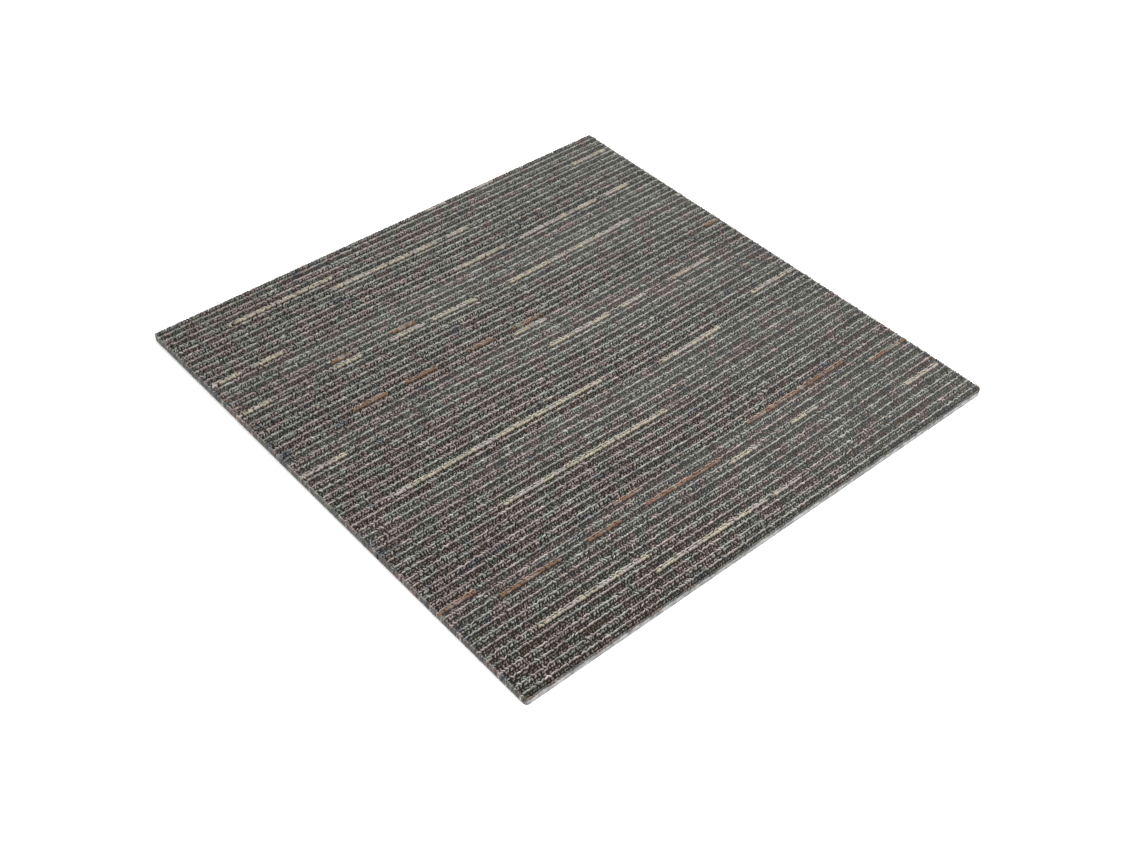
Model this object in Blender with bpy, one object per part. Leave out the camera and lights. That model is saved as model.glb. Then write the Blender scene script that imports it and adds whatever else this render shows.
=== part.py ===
"""Carpet tile: a ribbed loop pile on a felted backing, lying flat on the floor.

The origin is on the floor under the middle of the tile, +Z is up, and the rows of loops run along X.
Two solids make the tile: the backing, a plain slab with four cut edges, and the pile, whose section
across the rows repeats as ribs of three rows, one tall and two lower.
"""
import math

import bmesh
import bpy

# Driving dimensions, in metres
TILE_SIDE = 0.500
CORNER_RADIUS = 0.003
BACKING_THICKNESS = 0.0045
BOND_GAP = 0.0003
PILE_SETBACK = 0.0003
ROW_PITCH = 0.00254
CREST_ROW_HEIGHT = 0.0027
SECOND_ROW_HEIGHT = 0.0021
THIRD_ROW_HEIGHT = 0.0018
VALLEY_HEIGHT = 0.0012
FAR_EDGE_TO_CREST = 0.0059

# Counts that set how finely round shapes are drawn
SEGMENTS_PER_ROW = 4
SEGMENTS_PER_CORNER = 6

# Rows of one rib from the far edge (+Y) towards the near one: the crest, then the two lower rows
RIB_ROW_HEIGHTS = (CREST_ROW_HEIGHT, SECOND_ROW_HEIGHT, THIRD_ROW_HEIGHT)

# Finish of each sub-part: colour, roughness, metallic
BACKING_FINISH = ((0.46, 0.46, 0.45), 0.95, 0.0)
PILE_FINISH = ((0.155, 0.145, 0.133), 0.92, 0.0)


def clear_scene():
    """Take every object out of the scene that the script starts in."""
    for thing in list(bpy.data.objects):
        bpy.data.objects.remove(thing, do_unlink=True)


def finish(name, colour, roughness, metallic):
    """One Principled material."""
    material = bpy.data.materials.new(name)
    material.use_nodes = True
    shader = material.node_tree.nodes["Principled BSDF"]
    shader.inputs["Base Color"].default_value = (*colour, 1.0)
    shader.inputs["Roughness"].default_value = roughness
    shader.inputs["Metallic"].default_value = metallic
    material.diffuse_color = (*colour, 1.0)
    return material


def add_part(name, mesh_data, material):
    """Put a finished bmesh into the scene as a named object."""
    bmesh.ops.recalc_face_normals(mesh_data, faces=mesh_data.faces)
    mesh = bpy.data.meshes.new(name)
    mesh_data.to_mesh(mesh)
    mesh_data.free()
    mesh.materials.append(material)
    part = bpy.data.objects.new(name, mesh)
    bpy.context.scene.collection.objects.link(part)
    return part


def corner_steps(radius):
    """Along and across offsets of a quarter round, from its start to its end."""
    angles = [math.pi / 2 * step / SEGMENTS_PER_CORNER for step in range(SEGMENTS_PER_CORNER + 1)]
    return [(radius * math.sin(angle), radius * math.cos(angle)) for angle in angles]


def rounded_square(half_side, radius):
    """Outline of a square with round corners, anticlockwise."""
    inner = half_side - radius
    outline = []
    for quarter in range(4):
        turn = math.pi / 2 * quarter
        for along, across in corner_steps(radius):
            x, y = inner + across, inner + along
            outline.append((x * math.cos(turn) - y * math.sin(turn), x * math.sin(turn) + y * math.cos(turn)))
    return outline


def backing():
    """The slab under the pile, cut square on all four sides."""
    slab = bmesh.new()
    outline = rounded_square(TILE_SIDE / 2, CORNER_RADIUS)
    underside = slab.faces.new([slab.verts.new((x, y, 0.0)) for x, y in outline])
    raised = bmesh.ops.extrude_face_region(slab, geom=[underside])
    top = [item for item in raised["geom"] if isinstance(item, bmesh.types.BMVert)]
    bmesh.ops.translate(slab, verts=top, vec=(0.0, 0.0, BACKING_THICKNESS))
    return add_part("backing", slab, finish("backing", *BACKING_FINISH))


def rows_from_first_crest(y):
    """Distance from the first crest row towards the near edge, counted in rows."""
    return (TILE_SIDE / 2 - FAR_EDGE_TO_CREST - y) / ROW_PITCH


def pile_height(y):
    """Height of the pile's section above its underside: a half round for each row of loops."""
    rows = rows_from_first_crest(y)
    row = math.floor(rows + 0.5)
    aside = min(1.0, abs(rows - row) * 2)
    top = RIB_ROW_HEIGHTS[row % len(RIB_ROW_HEIGHTS)]
    return VALLEY_HEIGHT + (top - VALLEY_HEIGHT) * math.sqrt(1.0 - aside * aside)


def row_breaks(half_side):
    """Where the section's straight pieces meet, from the near edge to the far one."""
    breaks = []
    first_row = math.floor(rows_from_first_crest(half_side))
    last_row = math.ceil(rows_from_first_crest(-half_side))
    for row in range(first_row, last_row + 1):
        centre = TILE_SIDE / 2 - FAR_EDGE_TO_CREST - row * ROW_PITCH
        for step in range(SEGMENTS_PER_ROW):
            angle = math.pi * step / SEGMENTS_PER_ROW
            breaks.append(centre - ROW_PITCH / 2 * math.cos(angle))
    return breaks


def pile_stations(half_side, radius):
    """Every y where the pile's section or its outline turns, in order, with none too close."""
    inner = half_side - radius
    corner = [inner + along for along, across in corner_steps(radius)]
    fixed = corner + [-y for y in corner]
    shortest = ROW_PITCH / SEGMENTS_PER_ROW / 4
    rows = [y for y in row_breaks(half_side)
            if abs(y) < half_side and min(abs(y - other) for other in fixed) > shortest]
    return sorted(fixed + rows)


def half_width(y, half_side, radius):
    """Half the tile's width along X at this y, less where the corners are round."""
    into_corner = abs(y) - (half_side - radius)
    if into_corner <= 0.0:
        return half_side
    return half_side - radius + math.sqrt(max(0.0, radius * radius - into_corner * into_corner))


def pile():
    """The loop pile as one solid: its ribbed section carried along X between the tile's edges."""
    half_side = TILE_SIDE / 2 - PILE_SETBACK
    radius = CORNER_RADIUS - PILE_SETBACK
    base = BACKING_THICKNESS + BOND_GAP
    stations = pile_stations(half_side, radius)
    widths = [half_width(y, half_side, radius) for y in stations]
    body = bmesh.new()

    # The ribbed top has vertices at every station, the flat underside only where the outline turns
    top_left = [body.verts.new((-width, y, base + pile_height(y))) for y, width in zip(stations, widths)]
    top_right = [body.verts.new((width, y, base + pile_height(y))) for y, width in zip(stations, widths)]
    straight = [index for index, width in enumerate(widths) if width == half_side]
    kept = [index for index in range(len(stations)) if not straight[0] < index < straight[-1]]
    foot_left = {index: body.verts.new((-widths[index], stations[index], base)) for index in kept}
    foot_right = {index: body.verts.new((widths[index], stations[index], base)) for index in kept}

    for index in range(len(stations) - 1):
        body.faces.new([top_left[index], top_right[index], top_right[index + 1], top_left[index + 1]])
    for top, foot in ((top_left, foot_left), (top_right, foot_right)):
        for start, stop in zip(kept, kept[1:]):
            body.faces.new([foot[start], *top[start:stop + 1], foot[stop]])
    for end in (kept[0], kept[-1]):
        body.faces.new([top_left[end], top_right[end], foot_right[end], foot_left[end]])
    body.faces.new([foot_left[index] for index in kept] + [foot_right[index] for index in reversed(kept)])
    return add_part("pile", body, finish("pile", *PILE_FINISH))


clear_scene()
backing()
pile()
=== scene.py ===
"""Looks of a carpet tile: loops of heathered yarn in ribs over a felted backing, on a pale floor."""

import math

import bmesh
import bpy
import numpy as np
from mathutils import Matrix, Vector, noise


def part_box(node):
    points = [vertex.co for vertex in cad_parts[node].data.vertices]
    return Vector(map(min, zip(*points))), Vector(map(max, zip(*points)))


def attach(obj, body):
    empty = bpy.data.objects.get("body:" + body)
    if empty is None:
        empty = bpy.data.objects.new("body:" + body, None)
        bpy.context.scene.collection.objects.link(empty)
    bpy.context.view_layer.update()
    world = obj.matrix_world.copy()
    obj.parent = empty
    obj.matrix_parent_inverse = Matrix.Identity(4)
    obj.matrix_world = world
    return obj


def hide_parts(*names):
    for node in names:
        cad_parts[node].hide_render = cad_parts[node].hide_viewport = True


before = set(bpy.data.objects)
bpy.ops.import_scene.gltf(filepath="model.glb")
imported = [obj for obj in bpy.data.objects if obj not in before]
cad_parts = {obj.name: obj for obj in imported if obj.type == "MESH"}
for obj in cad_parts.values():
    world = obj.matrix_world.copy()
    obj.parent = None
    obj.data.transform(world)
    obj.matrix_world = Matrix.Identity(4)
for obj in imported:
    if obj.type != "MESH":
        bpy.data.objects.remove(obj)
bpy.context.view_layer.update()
BACKING_LOW, BACKING_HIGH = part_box("backing")
HALF_SIDE = BACKING_HIGH.x

bl_info = {
    "name": "Carpet Tile Looks",
    "version": (1, 0, 0),
    "blender": (4, 5, 0),
    "location": "3D View > Sidebar > Carpet Tile",
    "description": "Loop pile, felted backing and stage of a carpet tile",
    "category": "Object",
}

# Rows of loops in one repeat, from the far edge to the near one, starting at a crest
CREST, BRIGHT_SHOULDER, DEEP, DARK_SHOULDER, LOW, STREAK, LONG_EDGE, END_EDGE = range(8)
ROW_REPEAT = (CREST, DARK_SHOULDER, LOW, CREST, BRIGHT_SHOULDER, DEEP)
ROWS_PER_RIB = 3

# Streaks of dyed yarn on the row next to a crest: rib number from the far edge, then each streak's
# start and stop in mm from the tile's left-hand (-X) edge
CREAM_STREAKS = {
    -1: ((291, 314), (350, 371)),
    3: ((56, 161), (452, 492)),
    5: ((154, 268), (280, 304)),
    11: ((0, 31), (44, 71), (253, 313), (332, 428), (441, 471)),
    17: ((0, 33), (94, 121), (152, 187), (196, 247), (283, 432), (495, 500)),
    25: ((240, 273),),
    29: ((0, 44), (254, 323), (338, 365), (400, 446)),
    37: ((42, 258), (442, 498)),
    39: ((314, 387),),
    45: ((104, 274),),
    55: ((270, 304), (344, 373)),
    59: ((49, 156), (455, 495)),
    61: ((149, 263), (273, 302)),
}
RUST_STREAKS = {
    16: ((96, 123), (157, 183)),
    24: ((77, 109), (131, 162), (195, 220), (242, 276), (481, 500)),
    52: ((0, 34), (168, 198), (316, 435)),
    54: ((45, 104), (129, 162), (189, 224), (227, 268), (454, 500)),
}

# Small dyed flecks on the low rows, in the same terms
BROWN_FLECKS = {
    18: ((155, 160),),
    38: ((69, 74),),
    44: ((360, 365),),
    58: ((50, 55), (286, 292), (318, 323)),
    59: ((418, 424),),
    60: ((23, 43), (116, 122), (423, 428)),
    62: ((19, 25), (68, 93), (139, 144), (378, 384), (410, 446)),
    63: ((379, 384),),
    64: ((0, 5), (138, 143)),
}
BLUE_FLECKS = {
    20: ((50, 55),),
    23: ((145, 150),),
    49: ((36, 80),),
    51: ((361, 367), (417, 424)),
    53: ((85, 90), (329, 334), (360, 365)),
}

# Share of the dye that reaches the crest row and the two lower rows of a rib
STREAK_SHARES = (0.42, 1.0, 0.0)
FLECK_SHARES = (0.0, 1.0, 0.85)

# Each dye: where it lies, its share on the rows of a rib, and how fully the yarn took it up
DYES = {
    "cream": {"places": CREAM_STREAKS, "shares": STREAK_SHARES, "fullness": 1.8},
    "rust": {"places": RUST_STREAKS, "shares": STREAK_SHARES, "fullness": 1.3},
    "brown": {"places": BROWN_FLECKS, "shares": FLECK_SHARES, "fullness": 1.1},
    "blue": {"places": BLUE_FLECKS, "shares": FLECK_SHARES, "fullness": 1.1},
}


class PileSettings(bpy.types.PropertyGroup):
    """Sizes of the rows and loops."""

    row_pitch: bpy.props.FloatProperty(
        name="Row pitch", description="From one row of loops to the next",
        default=0.00254, unit="LENGTH", precision=5)
    far_edge_to_crest: bpy.props.FloatProperty(
        name="Far edge to crest", description="From the +Y edge to the first crest row",
        default=0.0059, unit="LENGTH", precision=5)
    stitch_pitch: bpy.props.FloatProperty(
        name="Stitch pitch", description="From one loop to the next along the crests and the long edges",
        default=0.0028, unit="LENGTH", precision=5)
    low_stitch_pitch: bpy.props.FloatProperty(
        name="Low stitch pitch", description="From one loop to the next along the rows between the crests",
        default=0.0023, unit="LENGTH", precision=5)
    end_pitch: bpy.props.FloatProperty(
        name="End pitch", description="From one loop to the next along the edges that the rows end on",
        default=0.0018, unit="LENGTH", precision=5)
    bands: bpy.props.IntProperty(
        name="Bands", description="Pieces that the pile is split into", default=5, min=1)
    seed: bpy.props.IntProperty(
        name="Seed", description="Start of the random draws", default=7)


class YarnSettings(bpy.types.PropertyGroup):
    """Colours of the yarn."""

    green: bpy.props.FloatVectorProperty(
        name="Green-grey", description="Main heather colour",
        subtype="COLOR", default=(0.265, 0.272, 0.244))
    plum: bpy.props.FloatVectorProperty(
        name="Plum-grey", description="Second heather colour",
        subtype="COLOR", default=(0.288, 0.243, 0.227))
    charcoal: bpy.props.FloatVectorProperty(
        name="Charcoal", description="Dark bluish patches",
        subtype="COLOR", default=(0.172, 0.177, 0.181))
    cream: bpy.props.FloatVectorProperty(
        name="Cream", description="Pale streaks",
        subtype="COLOR", default=(0.388, 0.355, 0.290))
    blush: bpy.props.FloatVectorProperty(
        name="Blush", description="Pink parts of the pale streaks",
        subtype="COLOR", default=(0.368, 0.332, 0.314))
    rust: bpy.props.FloatVectorProperty(
        name="Rust", description="Orange-brown streaks",
        subtype="COLOR", default=(0.186, 0.105, 0.064))
    brown: bpy.props.FloatVectorProperty(
        name="Brown", description="Small brown flecks",
        subtype="COLOR", default=(0.165, 0.117, 0.081))
    blue: bpy.props.FloatVectorProperty(
        name="Blue", description="Small blue flecks",
        subtype="COLOR", default=(0.145, 0.153, 0.175))
    # Painted shade: the cloth between the loops is near black for the shade down among them
    ground_shade: bpy.props.FloatVectorProperty(
        name="Ground", description="Cloth between the loops",
        subtype="COLOR", default=(0.0175, 0.0128, 0.0095))


class BackingSettings(bpy.types.PropertyGroup):
    """Sizes and colours of the backing."""

    edge_round: bpy.props.FloatProperty(
        name="Edge round", description="Softening of the cut edges",
        default=0.0004, unit="LENGTH", precision=5)
    felt: bpy.props.FloatVectorProperty(
        name="Felt", description="Colour of the backing",
        subtype="COLOR", default=(0.280, 0.280, 0.276))


class StageSettings(bpy.types.PropertyGroup):
    """Camera, floor and lights."""

    camera_place: bpy.props.FloatVectorProperty(
        name="Camera place", description="Where the camera stands",
        subtype="TRANSLATION", default=(-0.64264, -0.7145, 0.84221))
    camera_target: bpy.props.FloatVectorProperty(
        name="Camera target", description="Point that the camera looks at",
        subtype="TRANSLATION", default=(-0.04571, -0.06021, 0.0))
    camera_roll: bpy.props.FloatProperty(
        name="Camera roll", description="Turn about the line of sight",
        subtype="ANGLE", default=math.radians(2.034))
    lens: bpy.props.FloatProperty(
        name="Lens", description="Focal length in mm", default=47.23)
    floor_side: bpy.props.FloatProperty(
        name="Floor side", description="Side of the floor", default=30.0, unit="LENGTH")
    floor_tone: bpy.props.FloatVectorProperty(
        name="Floor", description="Colour of the floor",
        subtype="COLOR", default=(0.98, 0.98, 0.98))


class Value:
    """A number that varies over a surface, for use in Python expressions."""

    def __init__(self, graph, socket):
        self.graph = graph
        self.socket = socket

    def maths(self, operation, *values):
        return self.graph.node("ShaderNodeMath", {"operation": operation}, dict(enumerate(values)))

    def __add__(self, other):
        return self.maths("ADD", self, other)

    def __sub__(self, other):
        return self.maths("SUBTRACT", self, other)

    def __rsub__(self, other):
        return self.maths("SUBTRACT", other, self)

    def __mul__(self, other):
        return self.maths("MULTIPLY", self, other)

    __radd__ = __add__

    def clamp(self, low, high):
        """The number mapped so that low gives 0 and high gives 1, and kept between them."""
        return self.graph.node("ShaderNodeMapRange", {"clamp": True}, {0: self, 1: low, 2: high})


class Graph:
    """The node tree of one material, ending in a Principled shader."""

    def __init__(self, name):
        self.material = bpy.data.materials.new(name)
        self.material.use_nodes = True
        self.tree = self.material.node_tree
        self.shader = self.tree.nodes["Principled BSDF"]

    def fill(self, socket, value):
        """Gives a socket a link or a plain value."""
        if isinstance(value, Value):
            self.tree.links.new(value.socket, socket)
        else:
            socket.default_value = value

    def node(self, kind, settings, inputs, output=0):
        """Adds any node: its settings first, then the values or links of its sockets."""
        made = self.tree.nodes.new(kind)
        for name, value in settings.items():
            setattr(made, name, value)
        for name, value in inputs.items():
            self.fill(made.inputs[name], value)
        return Value(self, made.outputs[output])

    def toned(self, colour, tone):
        """A colour times a tone that varies over the surface."""
        grey = self.node("ShaderNodeCombineColor", {}, {0: tone, 1: tone, 2: tone})
        return self.node("ShaderNodeMix", {"data_type": "RGBA", "blend_type": "MULTIPLY"},
                         {0: 1.0, 6: colour, 7: grey}, output=2)

    def object_place(self):
        """The point in the tile's own space, in metres."""
        return self.node("ShaderNodeTexCoord", {}, {}, output=3)

    def along_axis(self, place, axis):
        """A place's coordinate along one axis: 0 for X, 1 for Y, 2 for Z."""
        return self.node("ShaderNodeSeparateXYZ", {}, {0: place}, output=axis)

    def scaled(self, place, scale):
        """A place stretched along each axis."""
        return self.node("ShaderNodeVectorMath", {"operation": "MULTIPLY"}, {0: place, 1: scale})

    def noise(self, place, scale, detail=2.0, roughness=0.5):
        """Soft noise between 0 and 1."""
        return self.node("ShaderNodeTexNoise", {},
                         {"Vector": place, "Scale": scale, "Detail": detail, "Roughness": roughness})

    def bump(self, height, strength, distance):
        """Sends a height to the shader's normal."""
        lifted = self.node("ShaderNodeBump", {},
                           {"Strength": strength, "Distance": distance, "Height": height})
        self.fill(self.shader.inputs["Normal"], lifted)

    def shade(self, **inputs):
        """Fills the shader's sockets, named with underscores for spaces."""
        for name, value in inputs.items():
            self.fill(self.shader.inputs[name.replace("_", " ")], value)


def rgba(colour):
    """A property's colour with full alpha."""
    return (*colour, 1.0)


def yarn_material():
    """Spun yarn: the loop's own colour, darker and lighter fibres along the twist, and a soft sheen."""
    graph = Graph("pile_yarn")
    colour = graph.node("ShaderNodeAttribute", {"attribute_name": "Yarn"}, {})
    strand = graph.node("ShaderNodeUVMap", {"uv_map": "Strand"}, {})
    waves = graph.node("ShaderNodeTexWave", {"bands_direction": "DIAGONAL"},
                       {"Vector": strand, "Scale": 0.45, "Distortion": 1.2,
                        "Detail": 2.0, "Detail Scale": 2.4})
    plies = graph.node("ShaderNodeSeparateColor", {}, {0: waves})
    fibres = graph.noise(graph.scaled(strand, (1.0, 7.0, 1.0)), 1.3, detail=3.0)
    tone = 0.60 + plies * 0.42 + (fibres - 0.5) * 0.6
    graph.shade(Base_Color=graph.toned(colour, tone), Roughness=0.88,
                Sheen_Weight=0.12, Sheen_Roughness=0.5, Specular_IOR_Level=0.25)
    graph.bump(plies * 0.6 + fibres * 0.5, 0.7, 0.0003)
    return graph.material


def felt_material(felt):
    """Needled felt: pale and blotched, with short darker fibres; painted shade on the -X side and along the
    floor.
    """
    graph = Graph("backing_felt")
    place = graph.object_place()
    blotches = graph.noise(place, 210.0, detail=2.0)
    specks = graph.noise(place, 900.0, detail=4.0, roughness=0.65)
    hairs = graph.noise(graph.scaled(place, (1.0, 1.0, 3.5)), 1700.0, detail=2.0)
    # Painted shade: the -X side faces away from the key light and is darkened
    shaded_side = graph.along_axis(place, 0).clamp(SIDE_SHADE_STARTS - HALF_SIDE, SIDE_SHADE_FULL - HALF_SIDE)
    # Painted shade: the felt darkens towards the floor, for the contact shadow
    floor_shade = 1.0 - graph.along_axis(place, 2).clamp(0.0, FLOOR_SHADE_HEIGHT)
    tone = 0.46 + blotches.clamp(0.35, 0.65) * 0.60 + (specks - 0.5) * 1.1 + (hairs - 0.5) * 0.4
    tone = tone * (1.0 - shaded_side * 0.62) * (1.0 - floor_shade * 0.26)
    graph.shade(Base_Color=graph.toned(rgba(felt), tone), Roughness=0.95,
                Sheen_Weight=0.1, Specular_IOR_Level=0.2)
    graph.bump(specks + hairs * 0.6, 0.6, 0.0004)
    return graph.material


def plain_material(name, colour, roughness):
    """A matt finish for the stage."""
    graph = Graph(name)
    graph.shade(Base_Color=rgba(colour), Roughness=roughness)
    return graph.material


def deselect():
    """Leaves nothing selected, in object mode."""
    if bpy.context.mode != "OBJECT":
        bpy.ops.object.mode_set(mode="OBJECT")
    bpy.ops.object.select_all(action="DESELECT")


def settle(piece, name, material, slot, *nodes):
    """Names a finished piece, puts its place in its mesh, and ties it to the frame."""
    deselect()
    piece.select_set(True)
    bpy.context.view_layer.objects.active = piece
    bpy.ops.object.transform_apply(location=True, rotation=True, scale=True)
    piece.name = name
    piece.data.name = name
    piece.data.materials.clear()
    piece.data.materials.append(material)
    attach(piece, "root")
    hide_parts(*nodes)
    return piece


def loop_shape(sides, rings):
    """One loop of yarn as a closed dome over a unit square and one unit high, and each vertex's share
    of the way from its foot to its tip. Rings are (height, radius) from the foot up."""
    deselect()
    foot_height, foot_radius = rings[0]
    bpy.ops.mesh.primitive_circle_add(vertices=sides, radius=foot_radius, location=(0.0, 0.0, foot_height))
    shape = bpy.context.active_object
    bpy.ops.object.mode_set(mode="EDIT")
    for (below, inner), (above, outer) in zip(rings, rings[1:]):
        bpy.ops.mesh.extrude_edges_move(TRANSFORM_OT_translate={"value": (0.0, 0.0, above - below)})
        ratio = outer / inner
        bpy.ops.transform.resize(value=(ratio, ratio, 1.0), center_override=(0.0, 0.0, above))
    bpy.ops.mesh.extrude_edges_move(TRANSFORM_OT_translate={"value": (0.0, 0.0, 1.0 - rings[-1][0])})
    bpy.ops.mesh.merge(type="CENTER")
    bpy.ops.mesh.select_all(action="SELECT")
    bpy.ops.mesh.normals_make_consistent(inside=False)
    bpy.ops.object.mode_set(mode="OBJECT")
    bpy.ops.object.transform_apply(location=True, rotation=True, scale=True)
    mesh = shape.data
    corners = np.array([tuple(vertex.co) for vertex in mesh.vertices])
    faces = [tuple(face.vertices) for face in mesh.polygons]
    heights = [height for height, radius in rings] + [1.0]
    steps = np.interp(corners[:, 2], heights, np.linspace(0.0, 1.0, len(heights)))
    bpy.data.objects.remove(shape, do_unlink=True)
    return corners, faces, steps


class LoopBank:
    """Loops gathered from copies of a few shapes, to be written out as one mesh."""

    def __init__(self):
        self.points = []
        self.colours = []
        self.bake_places = []
        self.strand_places = []
        self.sizes = []
        self.corners = []
        self.count = 0

    def add(self, points, faces, colours, bake_places, strand_places):
        """Adds copies of one shape: arrays of copies x vertices, and one list of faces."""
        copies, vertices = points.shape[:2]
        flat = np.concatenate([np.array(face) for face in faces])
        starts = self.count + np.arange(copies)[:, None] * vertices
        self.corners.append((flat[None, :] + starts).ravel())
        self.sizes.append(np.tile([len(face) for face in faces], copies))
        self.points.append(points.reshape(-1, 3))
        self.colours.append(colours.reshape(-1, 3))
        self.bake_places.append(bake_places.reshape(-1, 2))
        self.strand_places.append(strand_places.reshape(-1, 2))
        self.count += copies * vertices

    def write(self, name):
        """Makes the joined mesh, with its colour attribute and two UV maps."""
        points = np.concatenate(self.points)
        corners = np.concatenate(self.corners)
        sizes = np.concatenate(self.sizes)
        mesh = bpy.data.meshes.new(name)
        mesh.vertices.add(len(points))
        mesh.vertices.foreach_set("co", points.astype(np.float32).ravel())
        mesh.loops.add(len(corners))
        mesh.loops.foreach_set("vertex_index", corners.astype(np.int32))
        mesh.polygons.add(len(sizes))
        mesh.polygons.foreach_set("loop_start", (np.cumsum(sizes) - sizes).astype(np.int32))
        mesh.update(calc_edges=True)
        mesh.polygons.foreach_set("use_smooth", np.ones(len(sizes), bool))
        colours = np.concatenate(self.colours)
        opaque = np.column_stack([colours, np.ones(len(colours))])
        colour = mesh.attributes.new("Yarn", "FLOAT_COLOR", "POINT")
        colour.data.foreach_set("color", opaque.astype(np.float32).ravel())
        for map_name, places in (("OFBake", self.bake_places), ("Strand", self.strand_places)):
            layer = mesh.uv_layers.new(name=map_name)
            layer.data.foreach_set("uv", np.concatenate(places)[corners].astype(np.float32).ravel())
        mesh.validate()
        piece = bpy.data.objects.new(name, mesh)
        bpy.context.scene.collection.objects.link(piece)
        return piece


# Shape and finish of the loops in each kind of row: height over the backing in mm, length along the
# loop's own slant and width across it in mm, slant in degrees, brightness of the yarn (partly the
# yarn's own, partly painted light on the crests and painted shade on the low rows), strength of its
# hue, brightness at the foot (painted shade), share by which loops differ in brightness, shift towards
# +Y in mm, and whether they are copies of the fine shape
LOOP_KINDS = {
    CREST: dict(height=2.95, length=4.4, width=0.92, slant=-16.0, tone=1.72, hue=0.60, foot=0.13,
                uneven=0.18, shift=0.0, fine=True),
    BRIGHT_SHOULDER: dict(height=2.25, length=3.2, width=1.45, slant=48.0, tone=1.30, hue=0.8, foot=0.30,
                          uneven=0.20, shift=0.5, fine=False),
    DEEP: dict(height=1.75, length=3.1, width=1.40, slant=48.0, tone=0.86, hue=1.05, foot=0.12,
               uneven=0.32, shift=0.0, fine=False),
    DARK_SHOULDER: dict(height=1.90, length=3.1, width=1.40, slant=48.0, tone=0.71, hue=1.1, foot=0.12,
                        uneven=0.32, shift=0.0, fine=False),
    LOW: dict(height=1.85, length=3.1, width=1.45, slant=48.0, tone=0.92, hue=1.05, foot=0.12,
              uneven=0.32, shift=0.0, fine=False),
    STREAK: dict(height=2.75, length=4.1, width=1.80, slant=-20.0, tone=1.12, hue=1.0, foot=0.58,
                 uneven=0.11, shift=0.6, fine=True),
    LONG_EDGE: dict(height=2.70, length=4.4, width=1.6, slant=0.0, tone=0.74, hue=0.9, foot=0.14,
                    uneven=0.26, shift=0.0, fine=False),
    END_EDGE: dict(height=2.00, length=2.4, width=2.6, slant=0.0, tone=0.95, hue=0.9, foot=0.20,
                   uneven=0.45, shift=0.0, fine=False),
}

# The two shapes of loop: sides, and rings as (height, radius) from the foot up
FINE_SIDES = 8
FINE_RINGS = ((0.0, 0.42), (0.52, 0.50), (0.88, 0.37))
COARSE_SIDES = 5
COARSE_RINGS = ((0.0, 0.44), (0.60, 0.45))

# Outline of the tile and places of the loops along it, in metres; a setback keeps the loops off the -Y edge
MM = 0.001
CORNER_RADIUS = 0.003
WORN_CORNER_RADIUS = 0.0052
EDGE_ROW_INSET = 0.0007
EDGE_ROW_WIDTH = 0.0013
ROW_END_REACH = 0.0006
CORNER_REACH = 0.0004
OVERHANG = 0.00025
TOUCHING = 0.00001
SETBACK = 0.0006

# Distances from an edge within which the loops are pressed, hang over the felt, lie level or are darker
PRESSED_WITHIN = 0.0036
HANGING_WITHIN = 0.0018
LEVEL_WITHIN = 0.0022
EDGE_TINT = 0.008

# How far single loops stray: along and across the row and in lean in metres, in slant in degrees, and
# the rest as shares
ALONG_JITTER = 0.0005
ACROSS_JITTER = 0.00015
LEAN_JITTER = 0.00028
SLANT_JITTER = 36.0
HEIGHT_JITTER = 0.07
WIDTH_JITTER = 0.18
LENGTH_JITTER = 0.20
HEIGHT_RANGE = (-0.16, 0.12)
SIZE_RANGE = (0.7, 1.5)
TONE_RANGE = (0.45, 1.7)

# What part of that holds for the places on a crest, for the fine loops where the pile is orderly, for
# the edge loops, and what is added where the pile is matted, towards the -X +Y corner
CREST_LOOSENESS = 0.7
FINE_LOOSENESS = 0.56
EDGE_LOOSENESS = 0.6
MATTED_LOOSENESS = 0.44
MATTED_FROM_Y = -0.10
MATTED_OVER = 0.35

# Rows beyond the +Y and -Y edges that may wander in
ROWS_BEFORE = 2
ROWS_AFTER = 1

# Stagger of a rib's last row against the row before it, in loops
STAGGER_STEP = 0.74
STAGGER_JITTER = 0.25

# Heights in mm: of the tallest loops, and of those pressed down beside an edge, with what is left of
# their differences
TALLEST_LOOP = 3.1
PRESSED_HEIGHT = 1.95
PRESSED_SHARE = 0.18

# Least and most that a loop's foot hangs over each edge in mm, below which share of the loop it does so,
# and its brightness there
FAR_HANG = (0.0, 0.9)
LEFT_HANG = (3.0, 4.4)
RIGHT_HANG = (0.3, 1.8)
DROOP_BELOW = 0.3
DRAPE_RANGE = (0.30, 1.60)

# Loops near the long edges turn along them by this share, and are longer by this many mm
LEVEL_SHARE = 0.85
LEVEL_LENGTH = 0.9

# Painted shade on each loop, from its dark foot down between the loops up to its tip: where it starts, and
# its power for each shape
SHADE_FROM = 0.15
FINE_SHADE_POWER = 1.8
COARSE_SHADE_POWER = 1.3

# Yarn counts as dyed when its hue is this strong; how much richer the hue is in the painted shade at the
# foot, in dyed and plain yarn
DYED_HUE = 0.35
DYED_FOOT_HUE = 0.5
PLAIN_FOOT_HUE = 2.3

# Mottling: its weight, its size along X and Y in metres, and its slice of the noise; a size of 1 along Y
# is for what goes by rows or ribs
PLUM_PATCHES = (0.72, 0.0105, 0.0080, 1.5)
PLUM_CLOUDS = (0.36, 0.200, 0.0110, 9.5)
PLUM_STRETCHES = (0.20, 0.0100, 1.0, 4.5)
DARK_PATCHES = (1.0, 0.0085, 0.0050, 23.5)
DARK_CLOUDS = (0.4, 0.05, 0.04, 31.5)
PALE_SPOTS = (0.30, 0.0060, 0.0060, 41.5)
PINK_PARTS = (1.0, 0.016, 1.0, 51.5)
FRAYED_PARTS = (0.0010, 0.009, 0.009, 61.5)
DYE_GAPS = (1.0, 0.0065, 1.0, 71.5)

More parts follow.
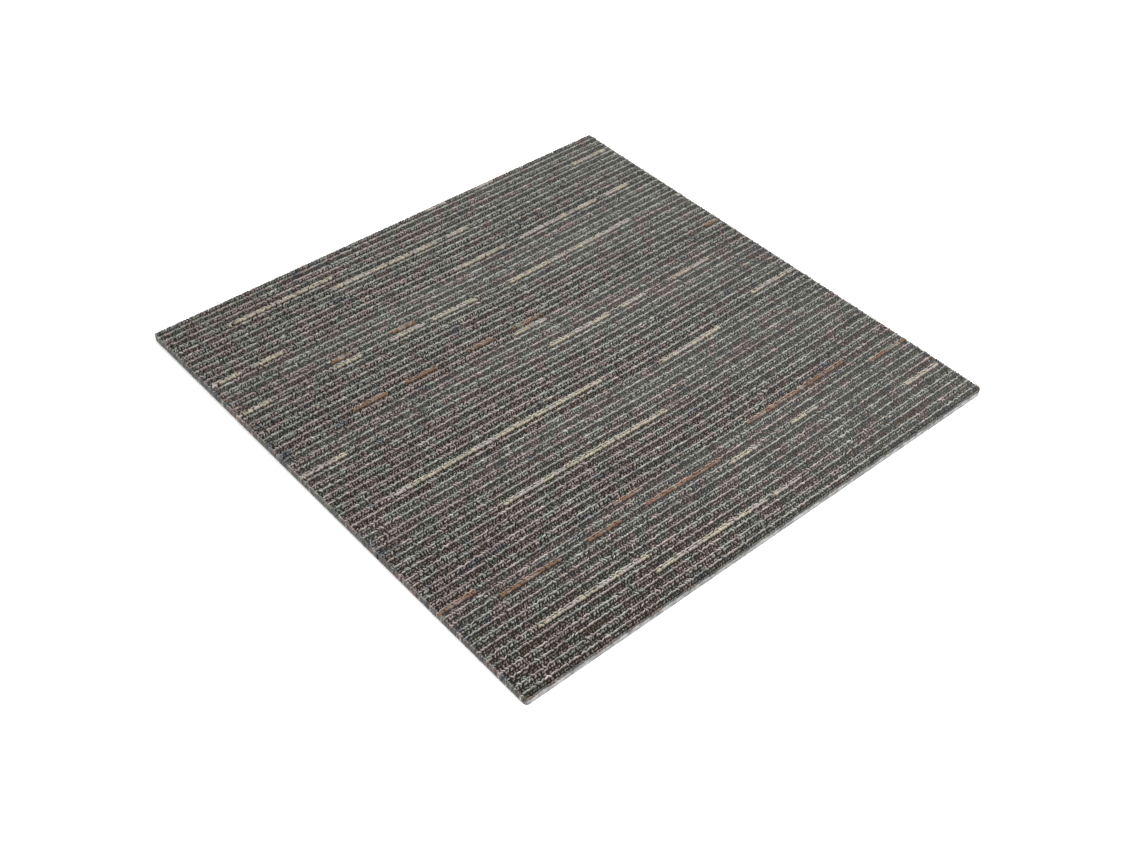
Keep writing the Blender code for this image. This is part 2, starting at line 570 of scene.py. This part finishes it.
# How far the noise moves on from one row, or for the pink parts one rib, to the next
PLUM_ROW_STEP = 0.9
DYE_ROW_STEP = 3.0
PINK_RIB_STEP = 9.0

# Plum share of the heather: its fall along X and Y, its shortfall, its scatter, and how softly it sets in
PLUM_FALL_X = 0.45
PLUM_FALL_Y = 0.15
PLUM_SHORTFALL = 0.06
PLUM_JITTER = 0.02
PLUM_SOFTNESS = 0.14

# Dark patches: what an edge adds, where they set in, and how softly
EDGE_DARKNESS = 0.40
DARK_ABOVE = 0.52
DARK_SOFTNESS = 0.10

# Brightness of the yarn before painted shade, and what the painted shade takes away towards +Y and beyond the
# even middle along X, for the light falling off
UNSHADED_TONE = 0.98
FALLOFF_Y = 0.25
FALLOFF_X = 0.55
UNSHADED_HALF_WIDTH = 0.08

# How softly the pink parts and the gaps in the dye set in, the pink's bias, and the least dye
PINK_SOFTNESS = 0.25
PINK_BIAS = 0.10
GAP_SOFTNESS = 0.35
LEAST_DYE = 0.35

# How the rows stray: middle and reach of each bend in metres, and its size in mm
DIP_X, DIP_REACH, DIP = 0.035, 0.080, -2.1
RISE_X, RISE_REACH, RISE = 0.175, 0.020, 1.0
BEND_X, BEND_REACH_X, BEND = 0.235, 0.035, 1.8
BEND_Y, BEND_REACH_Y = -0.135, 0.028
BOW, BOW_LOSS, BOW_LOSS_X, BOW_LOSS_REACH = 4.05, 0.45, 0.10, 0.03

# Over this distance from the long edges the bends fade in, with a shift in mm; then the shift of all rows
# in mm and how much their spread differs, in mm per metre
FADE_IN = 0.045
INNER_SHIFT = 0.6
ROWS_SHIFT = -1.17
ROWS_SPREAD = -2.6

# The cloth: its distance from the tile's edges and from the backing's rim, its underside and top over the
# backing, and the steps round each corner
GROUND_EDGE_GAP = 0.0003
GROUND_SETBACK = 0.0014
GROUND_UNDERSIDE = 0.00005
GROUND_TOP = 0.0006
GROUND_STEPS = 6

# Share of the bake map's width and of its own cell's height that the cloth's underside fills, and what
# its top fills more than that
GROUND_CELL_WIDTH, GROUND_CELL_HEIGHT = 0.9, 0.7
GROUND_TOP_WIDER, GROUND_TOP_HIGHER = 0.06, 0.2

# Bake map: share of its cell that a loop fills each way, and margin of a row's cells; and how far the
# strand pattern moves on from one loop to the next
CELL_REACH = 0.47
CELL_MARGIN = 0.02
STRAND_STEP = 3.7

# The felt: where the painted shade on the -X side starts and where it is full, and how high the painted shade
# along the floor goes
SIDE_SHADE_STARTS = 0.0012
SIDE_SHADE_FULL = 0.0002
FLOOR_SHADE_HEIGHT = 0.0011

# Rounds of the backing: segments at its corners and along its rims, and the angle below which it is
# shaded smooth; how near a corner its upright edges are found, and how level its rims are
CORNER_SEGMENTS = 8
RIM_SEGMENTS = 2
SMOOTH_ANGLE = math.radians(40)
CORNER_SEARCH = 0.0001
SAME_HEIGHT = 1e-6

# The stage
FLOOR_GAP = 0.0001
SKY_STRENGTH = 1.06
KEY_SIZE = (1.6, 1.2)
KEY_ENERGY = 25.0
KEY_PLACE = (0.10, -1.00, 1.20)
SENSOR_WIDTH = 36.0
CLIP_START = 0.01


def hump(distance, reach):
    """A soft hump that is 1 in its middle."""
    return np.exp(-(distance / reach) ** 2)


def soft_step(distance, reach):
    """A soft step from 0 to 1."""
    return 1.0 / (1.0 + np.exp(-distance / reach))


def wander(x, y):
    """How far the rows stray along Y from straight lines, in metres."""
    dip = DIP * hump(x - DIP_X, DIP_REACH)
    rise = RISE * soft_step(x - RISE_X, RISE_REACH)
    bend = BEND * hump(x - BEND_X, BEND_REACH_X) * hump(y - BEND_Y, BEND_REACH_Y)
    bow = (BOW - BOW_LOSS * soft_step(x - BOW_LOSS_X, BOW_LOSS_REACH)) * (1.0 - (y / HALF_SIDE) ** 2)
    edge_fade = np.clip((HALF_SIDE - np.abs(y)) / FADE_IN, 0.0, 1.0)
    return MM * ((INNER_SHIFT + dip + rise + bend) * edge_fade + bow + ROWS_SHIFT + ROWS_SPREAD * y)


def corner_radius(x, y):
    """Round of the corner nearest to each point: the one at +X -Y is worn rounder than the others."""
    return np.where((x > 0.0) & (y < 0.0), WORN_CORNER_RADIUS, CORNER_RADIUS)


def inside_corners(x, y, half_side):
    """Whether each point lies inside the round corners of a square."""
    radius = corner_radius(x, y)
    along, across = np.abs(x) - half_side + radius, np.abs(y) - half_side + radius
    return (along <= 0.0) | (across <= 0.0) | (np.hypot(along, across) <= radius)


def keep_inside(points, half_side):
    """Moves points that pass the tile's round-cornered outline back onto it, as a knife would cut them."""
    radius = corner_radius(points[..., 0], points[..., 1])
    flat = np.clip(points[..., :2], -half_side, half_side)
    inner = (half_side - radius)[..., None]
    over = np.abs(flat) - inner
    reach = np.hypot(np.maximum(over[..., 0], 0.0), np.maximum(over[..., 1], 0.0))
    shrink = np.where(reach > radius, radius / np.maximum(reach, 1e-9), 1.0)
    shrink = np.where((over > 0.0).all(-1), shrink, 1.0)[..., None]
    pulled = np.sign(flat) * (inner + np.maximum(over, 0.0) * shrink)
    points[..., :2] = np.where(over > 0.0, pulled, flat)
    return points


def mottle(x, y, mottling):
    """Noise at each place, for one kind of mottling."""
    weight, size_x, size_y, cut = mottling
    found = [noise.noise((px / size_x, py / size_y, cut)) for px, py in np.broadcast(x, y)]
    return weight * np.array(found)


def blended(first, second, share):
    """Colours between two, with a share of the second for each loop."""
    return first * (1.0 - share)[:, None] + second * share[:, None]


def heather(x, y, row, draw, yarn):
    """Colour of each loop's yarn: plum and green-grey stretches, with dark bluish and pale ones, and painted
    shade towards +Y and the sides.
    """
    plum = mottle(x, y, PLUM_PATCHES) + mottle(x, y, PLUM_CLOUDS)
    plum = plum + mottle(x, row * PLUM_ROW_STEP, PLUM_STRETCHES)
    plum = plum - PLUM_FALL_X * x - PLUM_FALL_Y * y - PLUM_SHORTFALL
    share = np.clip((plum + draw.normal(0.0, PLUM_JITTER, len(x))) / PLUM_SOFTNESS + 0.5, 0.0, 1.0)
    colour = blended(np.array(yarn.green), np.array(yarn.plum), share)
    to_edge = HALF_SIDE - np.maximum(np.abs(x), np.abs(y))
    dark = mottle(x, y, DARK_PATCHES) + mottle(x, y, DARK_CLOUDS)
    dark = dark + EDGE_DARKNESS * np.clip(1.0 - to_edge / EDGE_TINT, 0.0, 1.0)
    bluish = np.clip((dark - DARK_ABOVE) / DARK_SOFTNESS, 0.0, 1.0)
    colour = blended(colour, np.array(yarn.charcoal), bluish)
    # Painted shade: darker towards +Y and beyond the middle along X, for the light falling off
    painted_falloff = FALLOFF_Y * np.maximum(y, 0.0) + FALLOFF_X * np.maximum(np.abs(x) - UNSHADED_HALF_WIDTH, 0.0)
    return colour * ((1.0 + mottle(x, y, PALE_SPOTS)) * (UNSHADED_TONE - painted_falloff))[:, None]


def streaks_of(row):
    """Dyed streaks that reach this row: a list of (start, stop, dye, share of dye), in metres from the
    middle. A streak lies on the row next to its crest, and the crest takes up part of its colour; a
    fleck lies on both of the rows between two crests."""
    rib, place = divmod(row, ROWS_PER_RIB)
    found = []
    for dye, facts in DYES.items():
        share = facts["shares"][place]
        if share > 0.0:
            found += [(start * MM - HALF_SIDE, stop * MM - HALF_SIDE, dye, share)
                      for start, stop in facts["places"].get(rib, ())]
    return found


def dye_colour(dye, x, row, yarn):
    """Colour of a dyed streak along x; the cream ones turn pinkish in places."""
    colour = np.tile(np.array(getattr(yarn, dye)), (len(x), 1))
    if dye == "cream":
        pink = mottle(x, row // ROWS_PER_RIB * PINK_RIB_STEP, PINK_PARTS)
        pink = np.clip(pink / PINK_SOFTNESS + PINK_BIAS, 0.0, 1.0)
        colour = blended(colour, np.array(yarn.blush), pink)
    return colour


def dye_patches(dye, x, row):
    """Share of the dye that each loop took up: the streaks are thin in places, the cream ones least."""
    gaps = mottle(x, row * DYE_ROW_STEP, DYE_GAPS)
    return np.clip(gaps / GAP_SOFTNESS + DYES[dye]["fullness"], LEAST_DYE, 1.0)


def row_of_loops(row, y_row, kind, pile, yarn, draw, stagger):
    """Loops of one row, which runs along X."""
    pitch = pile.stitch_pitch if kind == CREST else pile.low_stitch_pitch
    count = int(round(2 * HALF_SIDE / pitch)) + 1
    pitch = 2 * HALF_SIDE / (count - 1)
    loose = CREST_LOOSENESS if kind == CREST else 1.0
    x = -HALF_SIDE + (np.arange(count) + stagger % 1.0 - 0.5) * pitch
    x = x + draw.normal(0.0, ALONG_JITTER * loose, count)
    y = y_row + wander(x, y_row) + draw.normal(0.0, ACROSS_JITTER * loose, count)
    kinds = np.full(count, kind)
    colour = heather(x, y, np.full(count, row), draw, yarn)
    for start, stop, dye, share in streaks_of(row):
        inside = (x > start) & (x < stop)
        taken_up = np.where(inside, share * dye_patches(dye, x, row), 0.0)
        colour = blended(colour, dye_colour(dye, x, row, yarn), taken_up)
        if kind != CREST and dye in ("cream", "rust"):
            kinds = np.where(inside, STREAK, kinds)
    kept = (np.abs(x) < HALF_SIDE + ROW_END_REACH) & (np.abs(y) < HALF_SIDE - EDGE_ROW_WIDTH)
    return dressed_loops(x, y, kinds, colour, kept, draw)


def edge_of_loops(side, low, high, ends_rows, pile, yarn, draw):
    """Loops lying along a cut edge from low to high: one that the rows end on, or one that they run
    along."""
    pitch = pile.end_pitch if ends_rows else pile.stitch_pitch
    count = max(2, round((high - low) / pitch))
    along = low + (np.arange(count) + 0.5) * (high - low) / count
    place = np.full(count, side * (HALF_SIDE - EDGE_ROW_INSET))
    x, y = (place, along) if ends_rows else (along, place)
    kinds = np.full(count, END_EDGE if ends_rows else LONG_EDGE)
    colour = heather(x, y, along / pile.row_pitch, draw, yarn)
    loops = dressed_loops(x, y, kinds, colour, np.full(count, True), draw)
    if ends_rows:
        loops["angle"] += math.pi / 2
    return loops


def loop_tones(colour, shape, dyed, draw):
    """Each loop's colour, with its kind's brightness and hue, which hold painted light on the crests and
    painted shade on the low rows besides the yarn's own differences; dyed yarn keeps its full hue.
    """
    grey = colour.mean(1, keepdims=True)
    hue = np.where(dyed, 1.0, shape["hue"])[:, None]
    # The kind's tone is partly the yarn's own and partly painted light on the crests and painted shade on the
    # low rows
    colour = (grey + (colour - grey) * hue) * shape["tone"][:, None]
    uneven = 1.0 + draw.normal(0.0, 1.0, len(colour)) * shape["uneven"]
    return colour * uneven.clip(*TONE_RANGE)[:, None]


def loop_heights(shape, cut, inward, draw):
    """Heights over the backing in mm; beside an edge the rows' own loops are pressed down."""
    jitter = draw.normal(0.0, HEIGHT_JITTER, len(cut)).clip(*HEIGHT_RANGE)
    height = shape["height"] * (1.0 + jitter * inward)
    pressed = np.where(cut, height, PRESSED_HEIGHT + PRESSED_SHARE * (height - PRESSED_HEIGHT))
    return np.minimum(height, TALLEST_LOOP) * inward + pressed * (1.0 - inward)


def edge_hang(x, y, draw):
    """How far each loop's foot hangs over the edge beside it, in mm; none does over the -Y edge."""
    hang = np.where(y > HALF_SIDE - HANGING_WITHIN, draw.uniform(*FAR_HANG, len(x)), 0.0)
    hang = np.where(x < HANGING_WITHIN - HALF_SIDE, draw.uniform(*LEFT_HANG, len(x)), hang)
    return np.where(x > HALF_SIDE - HANGING_WITHIN, draw.uniform(*RIGHT_HANG, len(x)), hang)


def dressed_loops(x, y, kinds, colour, kept, draw):
    """Sizes, slants and colours of loops at these places, as a dict of arrays."""
    count = len(x)
    shape = {name: np.array([LOOP_KINDS[own][name] for own in kinds]) for name in LOOP_KINDS[CREST]}
    cut = (kinds == LONG_EDGE) | (kinds == END_EDGE)
    matted = np.clip(-x / HALF_SIDE, 0.0, 1.0) * np.clip((y - MATTED_FROM_Y) / MATTED_OVER, 0.0, 1.0)
    fine_loose = FINE_LOOSENESS + MATTED_LOOSENESS * matted
    loose = np.where(shape["fine"], fine_loose, np.where(cut, EDGE_LOOSENESS, 1.0))
    dyed = (colour.max(1) - colour.min(1)) / colour.mean(1) > DYED_HUE
    colour = loop_tones(colour, shape, dyed, draw)
    inward = np.clip((HALF_SIDE - np.maximum(np.abs(x), np.abs(y))) / PRESSED_WITHIN, 0.0, 1.0)
    height = loop_heights(shape, cut, inward, draw)
    hang = edge_hang(x, y, draw)
    level = np.clip((np.abs(y) - HALF_SIDE) / LEVEL_WITHIN + 1.0, 0.0, 1.0) * (1.0 - cut)
    slant = shape["slant"] + draw.normal(0.0, 1.0, count) * SLANT_JITTER * loose
    drape = draw.uniform(*DRAPE_RANGE, count)
    wider = (1.0 + draw.normal(0.0, WIDTH_JITTER, count) * loose).clip(*SIZE_RANGE)
    longer = (1.0 + draw.normal(0.0, LENGTH_JITTER, count) * loose).clip(*SIZE_RANGE)
    return {
        "x": x,
        "y": y + shape["shift"] * MM,
        "colour": colour,
        # Brightness at the foot is painted shade down between the loops
        "foot": shape["foot"],
        "height": height * MM,
        "hang": hang * MM,
        "fine": shape["fine"],
        "kept": kept,
        "drape": drape,
        "setback": SETBACK + mottle(x, y, FRAYED_PARTS),
        # How much richer the hue grows in that painted shade at the foot
        "depth_hue": np.where(dyed, DYED_FOOT_HUE, PLAIN_FOOT_HUE),
        "width": shape["width"] * MM * wider,
        "length": (shape["length"] + LEVEL_LENGTH * level) * MM * longer,
        "angle": np.radians(slant * (1.0 - LEVEL_SHARE * level)),
        "lean": draw.normal(0.0, LEAN_JITTER, (count, 2)) * (inward * loose)[:, None],
    }


def loop_points(loops, along, across, rise):
    """Vertices of the loops, from their distances along, across and up each one."""
    cosine, sine = np.cos(loops["angle"])[:, None], np.sin(loops["angle"])[:, None]
    x = loops["x"][:, None] + along * cosine - across * sine + loops["lean"][:, :1] * rise
    y = loops["y"][:, None] + along * sine + across * cosine + loops["lean"][:, 1:] * rise
    z = BACKING_HIGH.z + loops["height"][:, None] * rise
    return np.stack([x, y, z], -1)


def cut_at_edges(points, loops, rise):
    """Cuts the loops off at the tile's outline and lets their feet hang there; also tells which do."""
    points[..., 1] = np.maximum(points[..., 1], loops["setback"][:, None] - HALF_SIDE)
    points = keep_inside(points, HALF_SIDE + OVERHANG)
    outward = np.maximum(np.abs(points[..., 0]), np.abs(points[..., 1]))
    drooping = (outward > HALF_SIDE + OVERHANG - TOUCHING) & (rise < DROOP_BELOW)
    points[..., 2] -= np.where(drooping, loops["hang"][:, None], 0.0)
    return points, drooping


def loop_colours(loops, rise, drooping, power):
    """Colours of the vertices: painted shade, dark and rich, at the foot down between the loops, and the
    loop's own colour at its tip.
    """
    # Painted shade: each loop darkens from its tip down to its foot
    climb = np.clip((rise - SHADE_FROM) / (1.0 - SHADE_FROM), 0.0, 1.0) ** power
    shade = loops["foot"][:, None] + (1.0 - loops["foot"][:, None]) * climb
    shade = np.where(drooping, np.maximum(shade, loops["drape"][:, None]), shade)[:, :, None]
    grey = loops["colour"].mean(1)[:, None, None]
    richer = 1.0 + loops["depth_hue"][:, None, None] * (1.0 - shade.clip(0.0, 1.0))
    return (grey + (loops["colour"][:, None, :] - grey) * richer) * shade


def loop_cells(count, corners, steps, cell_low, cell_high):
    """Places of the vertices in the bake map: each loop as seen from above, in a cell of its own."""
    angle = np.arctan2(corners[:, 1], corners[:, 0])
    spread = CELL_REACH * (1.0 - steps)
    u = (np.arange(count)[:, None] + 0.5 + spread * np.cos(angle)) / count
    v = cell_low + (cell_high - cell_low) * (0.5 + spread * np.sin(angle))
    return np.stack([u, np.broadcast_to(v, u.shape)], -1)


def tuft_row(bank, loops, shape, fine, cell_low, cell_high):
    """Adds a row's loops of one shape to the bank."""
    corners, faces, steps = shape
    count = len(loops["x"])
    along = corners[None, :, 0] * loops["length"][:, None]
    across = corners[None, :, 1] * loops["width"][:, None]
    rise = corners[None, :, 2]
    points, drooping = cut_at_edges(loop_points(loops, along, across, rise), loops, rise)
    colours = loop_colours(loops, rise, drooping, FINE_SHADE_POWER if fine else COARSE_SHADE_POWER)
    bake = loop_cells(count, corners, steps, cell_low, cell_high)
    strand_u = along / MM + np.arange(count)[:, None] * STRAND_STEP
    strand_v = across / MM + loops["y"][:, None] / MM
    strand = np.stack([strand_u, strand_v], -1)
    kept = loops["kept"] & (loops["fine"] == fine)
    kept = kept & inside_corners(loops["x"], loops["y"], HALF_SIDE + CORNER_REACH)
    bank.add(points[kept], faces, colours[kept], bake[kept], strand[kept])


def ground_stations(low_y, high_y, half_side):
    """Every y where a strip of cloth has corners: its two sides, and steps round the tile's corners."""
    turns = [math.sin(math.pi / 2 * step / GROUND_STEPS) for step in range(GROUND_STEPS + 1)]
    radii = (CORNER_RADIUS, WORN_CORNER_RADIUS)
    far = [half_side - radius * (1.0 - turn) for radius in radii for turn in turns]
    return sorted({low_y, high_y, *(y for y in far + [-y for y in far] if low_y < y < high_y)})


def ground_end(side, y, half_side):
    """Where a strip of cloth ends along X at this y, on one side."""
    radius = float(corner_radius(side, y))
    into = max(0.0, abs(y) - half_side + radius)
    return side * (half_side - radius + math.sqrt(max(0.0, radius ** 2 - into ** 2)))


def ground_strip(bank, low_y, high_y, colour, cell_high):
    """Adds the strip of cloth that a band's loops stand in, as a closed slab, coloured with the painted shade
    between the loops.
    """
    half_side = HALF_SIDE - GROUND_EDGE_GAP
    low_z = BACKING_HIGH.z + GROUND_UNDERSIDE
    high_z = BACKING_HIGH.z + GROUND_TOP
    stations = ground_stations(low_y, high_y, half_side)
    points = []
    for y in stations:
        left, right = ground_end(-1.0, y, half_side), ground_end(1.0, y, half_side)
        points += [(left, y, low_z), (right, y, low_z), (right, y, high_z), (left, y, high_z)]
    faces = [(0, 1, 2, 3)]
    for near in range(0, 4 * (len(stations) - 1), 4):
        far = near + 4
        faces += [(far + side, far + (side + 1) % 4, near + (side + 1) % 4, near + side) for side in range(4)]
    last = 4 * (len(stations) - 1)
    faces.append((last + 3, last + 2, last + 1, last))
    points = np.array(points)[None]
    share = (points[..., 1] - low_y) / (high_y - low_y)
    upper = points[..., 2] > (low_z + high_z) / 2
    width = GROUND_CELL_WIDTH + GROUND_TOP_WIDER * upper
    height = GROUND_CELL_HEIGHT + GROUND_TOP_HIGHER * upper
    bake = np.stack([0.5 + points[..., 0] * width / (2.0 * half_side),
                     cell_high * (0.5 + (share - 0.5) * height)], -1)
    colours = np.broadcast_to(np.array(colour), points.shape)
    bank.add(points, faces, colours, bake, points[..., :2] / MM)


class CARPET_OT_pile(bpy.types.Operator):
    """Tufts the rows of loops, as bands that together stand for the pile"""

    bl_idname = "carpet.pile"
    bl_label = "Tuft the Pile"

    def execute(self, context):
        pile, yarn = context.scene.carpet_pile, context.scene.carpet_yarn
        draw = np.random.default_rng(pile.seed)
        shapes = {True: loop_shape(FINE_SIDES, FINE_RINGS), False: loop_shape(COARSE_SIDES, COARSE_RINGS)}
        material = yarn_material()
        first_y = HALF_SIDE - pile.far_edge_to_crest
        first_row = -int(pile.far_edge_to_crest / pile.row_pitch) - ROWS_BEFORE
        last_row = int((first_y + HALF_SIDE) / pile.row_pitch) + ROWS_AFTER
        rows = list(range(first_row, last_row + 1))
        per_band = math.ceil(len(rows) / pile.bands)
        stagger = 0.0
        for band in range(pile.bands):
            own = rows[band * per_band:(band + 1) * per_band]
            high_y = min(first_y - (own[0] - 0.5) * pile.row_pitch, HALF_SIDE - GROUND_SETBACK)
            low_y = max(first_y - (own[-1] + 0.5) * pile.row_pitch, -HALF_SIDE + GROUND_SETBACK)
            lines = []
            for row in own:
                kind = ROW_REPEAT[row % len(ROW_REPEAT)]
                if row % ROWS_PER_RIB == ROWS_PER_RIB - 1:
                    stagger = stagger - STAGGER_STEP + draw.normal(0.0, STAGGER_JITTER)
                else:
                    stagger = draw.random()
                y_row = first_y - row * pile.row_pitch
                lines.append(row_of_loops(row, y_row, kind, pile, yarn, draw, stagger))

            # Loops along the band's ends, and along the long edge of the first and the last band
            for side in (-1.0, 1.0):
                lines.append(edge_of_loops(side, low_y, high_y, True, pile, yarn, draw))
            for side, end_band in ((1.0, 0), (-1.0, pile.bands - 1)):
                if band == end_band:
                    lines.append(edge_of_loops(side, -HALF_SIDE, HALF_SIDE, False, pile, yarn, draw))

            bank = LoopBank()
            cell = 1.0 / (len(lines) + 1)
            # The cloth takes the painted shade's colour
            ground_strip(bank, low_y, high_y, yarn.ground_shade, cell)
            for index, loops in enumerate(lines, start=1):
                low_v, high_v = (index + CELL_MARGIN) * cell, (index + 1 - CELL_MARGIN) * cell
                for fine, shape in shapes.items():
                    tuft_row(bank, loops, shape, fine, low_v, high_v)
            piece = bank.write(f"pile_band_{band + 1}")
            settle(piece, piece.name, material, "pile_yarn", "pile")
        return {"FINISHED"}


class CARPET_OT_backing(bpy.types.Operator):
    """Cuts the felted backing"""

    bl_idname = "carpet.backing"
    bl_label = "Cut the Backing"

    def execute(self, context):
        settings = context.scene.carpet_backing
        size = BACKING_HIGH - BACKING_LOW
        middle = (BACKING_HIGH + BACKING_LOW) / 2
        deselect()
        bpy.ops.mesh.primitive_cube_add(size=1.0, location=middle)
        slab = bpy.context.active_object
        slab.scale = size
        bpy.ops.object.transform_apply(location=False, rotation=False, scale=True)
        bpy.ops.object.mode_set(mode="EDIT")
        bpy.ops.mesh.select_mode(type="EDGE")
        for radius, worn in ((CORNER_RADIUS, False), (WORN_CORNER_RADIUS, True)):
            bpy.ops.mesh.select_all(action="DESELECT")
            mesh = bmesh.from_edit_mesh(slab.data)
            for edge in mesh.edges:
                first, second = edge.verts[0].co, edge.verts[1].co
                at_corner = min(abs(first.x), abs(first.y)) > HALF_SIDE - CORNER_SEARCH
                upright = abs(first.z - second.z) > size.z / 2
                edge.select_set(upright and at_corner and (first.x > 0.0 and first.y < 0.0) == worn)
            bmesh.update_edit_mesh(slab.data)
            bpy.ops.mesh.bevel(offset=radius, segments=CORNER_SEGMENTS, affect="EDGES")
        bpy.ops.mesh.select_all(action="DESELECT")
        mesh = bmesh.from_edit_mesh(slab.data)
        for edge in mesh.edges:
            level = abs(edge.verts[0].co.z - edge.verts[1].co.z) < SAME_HEIGHT
            rim = len({round(face.normal.z) for face in edge.link_faces}) > 1
            edge.select_set(level and rim)
        bmesh.update_edit_mesh(slab.data)
        bpy.ops.mesh.bevel(offset=settings.edge_round, segments=RIM_SEGMENTS, affect="EDGES")
        bpy.ops.object.mode_set(mode="OBJECT")
        bpy.ops.object.shade_smooth_by_angle(angle=SMOOTH_ANGLE)
        settle(slab, "felt_backing", felt_material(settings.felt), "backing_felt", "backing")
        return {"FINISHED"}


class CARPET_OT_stage(bpy.types.Operator):
    """Adds the floor, the lights and the camera"""

    bl_idname = "carpet.stage"
    bl_label = "Set the Stage"

    def execute(self, context):
        stage = context.scene.carpet_stage
        deselect()
        place = (0.0, 0.0, BACKING_LOW.z - FLOOR_GAP)
        bpy.ops.mesh.primitive_plane_add(size=stage.floor_side, location=place)
        floor = bpy.context.active_object
        floor.name = "stage_floor"
        floor.data.materials.append(plain_material("floor", stage.floor_tone, 0.9))
        self.light(context)
        self.camera(context, stage)
        return {"FINISHED"}

    def light(self, context):
        """A wide soft light over the near side, and an even sky."""
        world = bpy.data.worlds.new("studio")
        world.use_nodes = True
        sky = world.node_tree.nodes["Background"]
        sky.inputs["Color"].default_value = (1.0, 1.0, 1.0, 1.0)
        sky.inputs["Strength"].default_value = SKY_STRENGTH
        context.scene.world = world
        lamp = bpy.data.lights.new("key", "AREA")
        lamp.shape = "RECTANGLE"
        lamp.size, lamp.size_y = KEY_SIZE
        lamp.energy = KEY_ENERGY
        key = bpy.data.objects.new("key", lamp)
        place = Vector(KEY_PLACE)
        key.matrix_world = Matrix.Translation(place) @ (-place).to_track_quat("-Z", "Y").to_matrix().to_4x4()
        context.scene.collection.objects.link(key)
        context.scene.view_settings.view_transform = "Standard"

    def camera(self, context, stage):
        """The photograph's view."""
        data = bpy.data.cameras.new("camera")
        data.lens = stage.lens
        data.sensor_width = SENSOR_WIDTH
        data.clip_start = CLIP_START
        camera = bpy.data.objects.new("camera", data)
        place, target = Vector(stage.camera_place), Vector(stage.camera_target)
        aim = (target - place).to_track_quat("-Z", "Y").to_matrix().to_4x4()
        camera.matrix_world = Matrix.Translation(place) @ aim @ Matrix.Rotation(stage.camera_roll, 4, "Z")
        context.scene.collection.objects.link(camera)
        context.scene.camera = camera


class CARPET_PT_panel(bpy.types.Panel):
    """Lists the steps that build the tile's looks"""

    bl_idname = "CARPET_PT_panel"
    bl_label = "Carpet Tile"
    bl_space_type = "VIEW_3D"
    bl_region_type = "UI"
    bl_category = "Carpet Tile"

    def draw(self, context):
        layout = self.layout
        groups = [getattr(context.scene, name) for name in GROUPS]
        for settings in groups:
            box = layout.box()
            for name in settings.__annotations__:
                box.prop(settings, name)
        for operator in OPERATORS:
            layout.operator(operator.bl_idname)


OPERATORS = (CARPET_OT_pile, CARPET_OT_backing, CARPET_OT_stage)
GROUPS = {
    "carpet_pile": PileSettings,
    "carpet_yarn": YarnSettings,
    "carpet_backing": BackingSettings,
    "carpet_stage": StageSettings,
}


def register():
    """Adds the classes and the scene's settings."""
    for group in (*GROUPS.values(), *OPERATORS, CARPET_PT_panel):
        bpy.utils.register_class(group)
    for name, group in GROUPS.items():
        setattr(bpy.types.Scene, name, bpy.props.PointerProperty(type=group))


def unregister():
    """Takes the classes and settings away again."""
    for name in GROUPS:
        delattr(bpy.types.Scene, name)
    for group in reversed((*GROUPS.values(), *OPERATORS, CARPET_PT_panel)):
        bpy.utils.unregister_class(group)


def main():
    """Builds everything in order."""
    register()
    bpy.ops.carpet.pile()
    bpy.ops.carpet.backing()
    bpy.ops.carpet.stage()


if __name__ == "__main__":
    main()
